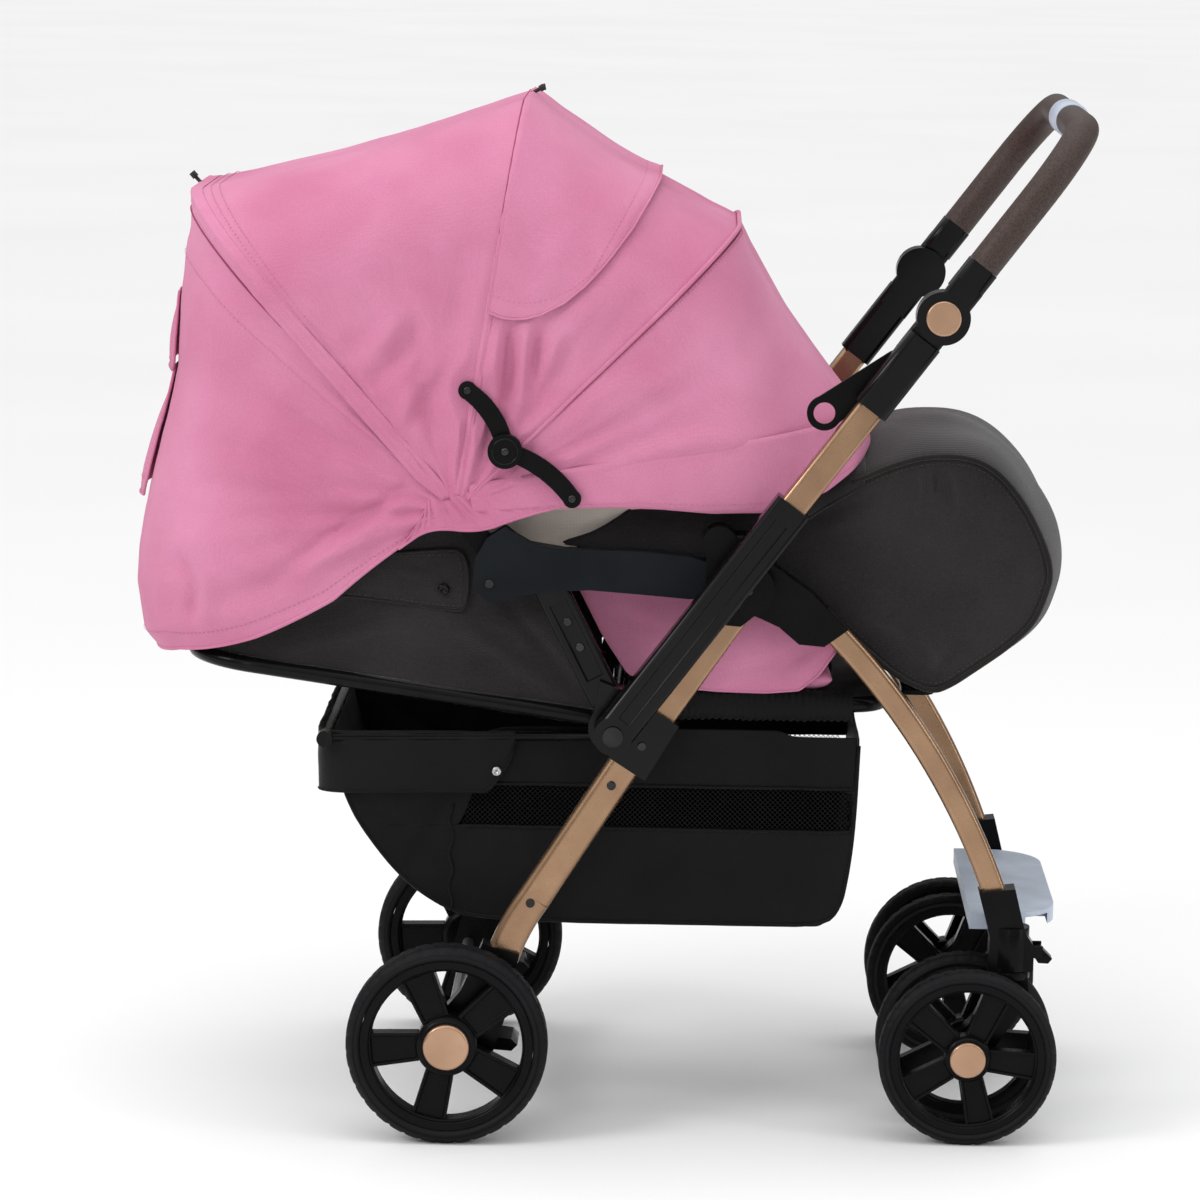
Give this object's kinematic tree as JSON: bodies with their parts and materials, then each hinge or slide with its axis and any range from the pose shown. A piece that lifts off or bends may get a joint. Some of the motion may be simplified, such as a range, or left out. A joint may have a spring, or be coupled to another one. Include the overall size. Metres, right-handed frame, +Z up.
{
  "type": "baby stroller",
  "caption": "Folding baby stroller with a reversible tilting handle, fan canopy, reclining seat, footmuff, basket, swivel casters and foot brake.",
  "frame": {"origin": "on the ground, below the middle of the whole object's box", "axes": "+X forward towards the small caster wheels, +Y left, +Z up"},
  "size_m": [0.9528, 0.532, 1.0248],
  "materials": {
    "gold": "satin champagne gold",
    "gold_cap": "satin copper gold",
    "black_plastic": "moulded, satin",
    "black_gloss": "moulded, gloss",
    "black_metal": "satin black",
    "steel": "zinc plated",
    "tyre": "foam rubber",
    "pink_fabric": "woven",
    "grey_fabric": "brushed woven",
    "beige_fabric": "woven lining",
    "black_fabric": "woven nylon",
    "brown_grip": "leather grained foam",
    "grey_plastic": "satin",
    "fibre_rib": "flat plastic rib"
  },
  "bodies": {
    "frame": {"rear_legs": "gold", "leg_brackets": "black_gloss", "armrests": "black_plastic", "hub_castings": "black_plastic", "rear_hubs": "black_plastic", "rear_axle": "steel", "pivot_rod": "steel", "frame_screws": "steel", "seat_frame": "black_metal", "seat_liner": "pink_fabric", "guard_bar": "black_metal", "basket": "black_fabric", "basket_rim": "black_metal", "canopy_rear": "pink_fabric", "canopy_rib_rear": "fibre_rib", "canopy_mounts": "black_plastic"},
    "brake": {"brake_bar": "black_plastic"},
    "front_frame": {"front_legs": "gold", "leg_sockets": "black_plastic", "caster_housings": "black_plastic", "footrest": "grey_plastic", "footrest_bracket": "black_plastic"},
    "handle": {"handle_sleeves": "black_gloss", "handle_tubes": "gold", "handle_clamps": "black_gloss"},
    "hook": {"fold_hook": "black_plastic"},
    "grip": {"grip_joints": "black_gloss", "handle_bar": "black_metal", "grips": "brown_grip", "grip_cover": "grey_plastic"},
    "backrest": {"backrest_tube": "black_metal", "back_pad": "beige_fabric"},
    "legrest": {"legrest_board": "black_plastic", "footmuff": "grey_fabric"},
    "canopy_top": {"canopy_rib_top": "fibre_rib", "canopy_panel_top": "pink_fabric"},
    "canopy_front": {"canopy_rib_front": "fibre_rib", "canopy_panel_front": "pink_fabric"},
    "canopy_visor": {"canopy_rib_visor": "fibre_rib", "canopy_panel_visor": "pink_fabric"},
    "stay_upper": {"stay_upper_arms": "black_plastic"},
    "stay_lower": {"stay_lower_arms": "black_plastic"},
    "rear_wheel_left": {"rear_tyre_left": "tyre", "rear_wheel_left": "black_plastic", "rear_cap_left": "gold_cap"},
    "caster_left": {"caster_fork_left": "black_plastic"},
    "front_outer_left": {"front_wheel_outer_left": "tyre", "front_cap_left": "gold_cap"},
    "front_inner_left": {"front_wheel_inner_left": "tyre"},
    "swivel_lock_left": {"swivel_lock_left": "black_plastic"},
    "button_left": {"knuckle_button_left": "gold_cap"},
    "rear_wheel_right": {"rear_tyre_right": "tyre", "rear_wheel_right": "black_plastic", "rear_cap_right": "gold_cap"},
    "caster_right": {"caster_fork_right": "black_plastic"},
    "front_outer_right": {"front_wheel_outer_right": "tyre", "front_cap_right": "gold_cap"},
    "front_inner_right": {"front_wheel_inner_right": "tyre"},
    "swivel_lock_right": {"swivel_lock_right": "black_plastic"},
    "button_right": {"knuckle_button_right": "gold_cap"}
  },
  "joints": [
    {"name": "rear_wheel_spin_left", "type": "hinge", "parent": "frame", "child": "rear_wheel_left", "pos_m": [-0.1475, 0.241, 0.1], "axis": [0, 1, 0], "continuous": true},
    {"name": "caster_swivel_left", "type": "hinge", "parent": "front_frame", "child": "caster_left", "pos_m": [0.4105, 0.173, 0.212], "axis": [0, 0, 1], "continuous": true},
    {"name": "front_spin_outer_left", "type": "hinge", "parent": "caster_left", "child": "front_outer_left", "pos_m": [0.3685, 0.212, 0.0885], "axis": [0, 1, 0], "continuous": true},
    {"name": "front_spin_inner_left", "type": "hinge", "parent": "caster_left", "child": "front_inner_left", "pos_m": [0.3685, 0.134, 0.0885], "axis": [0, 1, 0], "continuous": true},
    {"name": "swivel_lock_turn_left", "type": "hinge", "parent": "front_frame", "child": "swivel_lock_left", "pos_m": [0.438, 0.173, 0.19], "axis": [0, -1, 0], "range_deg": [0, 25]},
    {"name": "knuckle_button_press_left", "type": "slide", "parent": "grip", "child": "button_left", "axis": [0, -1, 0], "range_m": [0, 0.003], "stiffness_N_per_m": 600, "springref_m": -0.002},
    {"name": "rear_wheel_spin_right", "type": "hinge", "parent": "frame", "child": "rear_wheel_right", "pos_m": [-0.1475, -0.241, 0.1], "axis": [0, 1, 0], "continuous": true},
    {"name": "caster_swivel_right", "type": "hinge", "parent": "front_frame", "child": "caster_right", "pos_m": [0.4105, -0.173, 0.212], "axis": [0, 0, 1], "continuous": true},
    {"name": "front_spin_outer_right", "type": "hinge", "parent": "caster_right", "child": "front_outer_right", "pos_m": [0.3685, -0.212, 0.0885], "axis": [0, 1, 0], "continuous": true},
    {"name": "front_spin_inner_right", "type": "hinge", "parent": "caster_right", "child": "front_inner_right", "pos_m": [0.3685, -0.134, 0.0885], "axis": [0, 1, 0], "continuous": true},
    {"name": "swivel_lock_turn_right", "type": "hinge", "parent": "front_frame", "child": "swivel_lock_right", "pos_m": [0.438, -0.173, 0.19], "axis": [0, -1, 0], "range_deg": [0, 25]},
    {"name": "knuckle_button_press_right", "type": "slide", "parent": "grip", "child": "button_right", "axis": [0, 1, 0], "range_m": [0, 0.003], "stiffness_N_per_m": 600, "springref_m": -0.002},
    {"name": "frame_fold", "type": "hinge", "parent": "frame", "child": "front_frame", "pos_m": [0.1425, 0, 0.554], "axis": [0, 1, 0], "range_deg": [0, 36]},
    {"name": "brake_press", "type": "hinge", "parent": "frame", "child": "brake", "pos_m": [-0.1195, 0, 0.092], "axis": [0, 1, 0], "range_deg": [0, 18]},
    {"name": "handle_swing", "type": "hinge", "parent": "frame", "child": "handle", "pos_m": [0.0125, 0, 0.415], "axis": [0, -1, 0], "range_deg": [-75, 73]},
    {"name": "handle_tilt", "type": "hinge", "parent": "handle", "child": "grip", "pos_m": [0.32424, 0, 0.82869], "axis": [0, 1, 0], "range_deg": [-40, 80]},
    {"name": "fold_hook_turn", "type": "hinge", "parent": "handle", "child": "hook", "pos_m": [0.27994, 0, 0.78319], "axis": [0, -1, 0], "range_deg": [-20, 60]},
    {"name": "backrest_recline", "type": "hinge", "parent": "frame", "child": "backrest", "pos_m": [0.0125, 0, 0.415], "axis": [0, 1, 0], "range_deg": [0, 55]},
    {"name": "legrest_drop", "type": "hinge", "parent": "frame", "child": "legrest", "pos_m": [0.2775, 0, 0.431], "axis": [0, 1, 0], "range_deg": [0, 35]},
    {"name": "canopy_fold", "type": "hinge", "parent": "frame", "child": "canopy_top", "pos_m": [-0.1455, 0, 0.627], "axis": [0, -1, 0], "range_deg": [0, 43], "deforming": ["canopy_panel_top", "canopy_panel_front", "canopy_panel_visor"]},
    {"name": "canopy_front_fold", "type": "hinge", "parent": "canopy_top", "child": "canopy_front", "pos_m": [-0.1455, 0, 0.627], "axis": [0, -1, 0], "range_deg": [0, 28.1]},
    {"name": "canopy_visor_fold", "type": "hinge", "parent": "canopy_front", "child": "canopy_visor", "pos_m": [-0.1455, 0, 0.627], "axis": [0, -1, 0], "range_deg": [0, 28.1]},
    {"name": "stay_upper_fold", "type": "hinge", "parent": "canopy_top", "child": "stay_upper", "pos_m": [-0.1348, 0, 0.7463], "axis": [0, -1, 0], "range_deg": [-52.4, 0]},
    {"name": "stay_elbow_fold", "type": "hinge", "parent": "stay_upper", "child": "stay_lower", "pos_m": [-0.0972, 0, 0.6882], "axis": [0, -1, 0], "range_deg": [0, 125.1]}
  ],
  "couplings": [
    {"joint": "canopy_front_fold", "follows": "canopy_fold", "ratio": 0.65116},
    {"joint": "canopy_visor_fold", "follows": "canopy_fold", "ratio": 0.65116},
    {"joint": "stay_upper_fold", "follows": "canopy_fold", "ratio": -1.2163},
    {"joint": "stay_elbow_fold", "follows": "canopy_fold", "ratio": 2.9047}
  ]
}
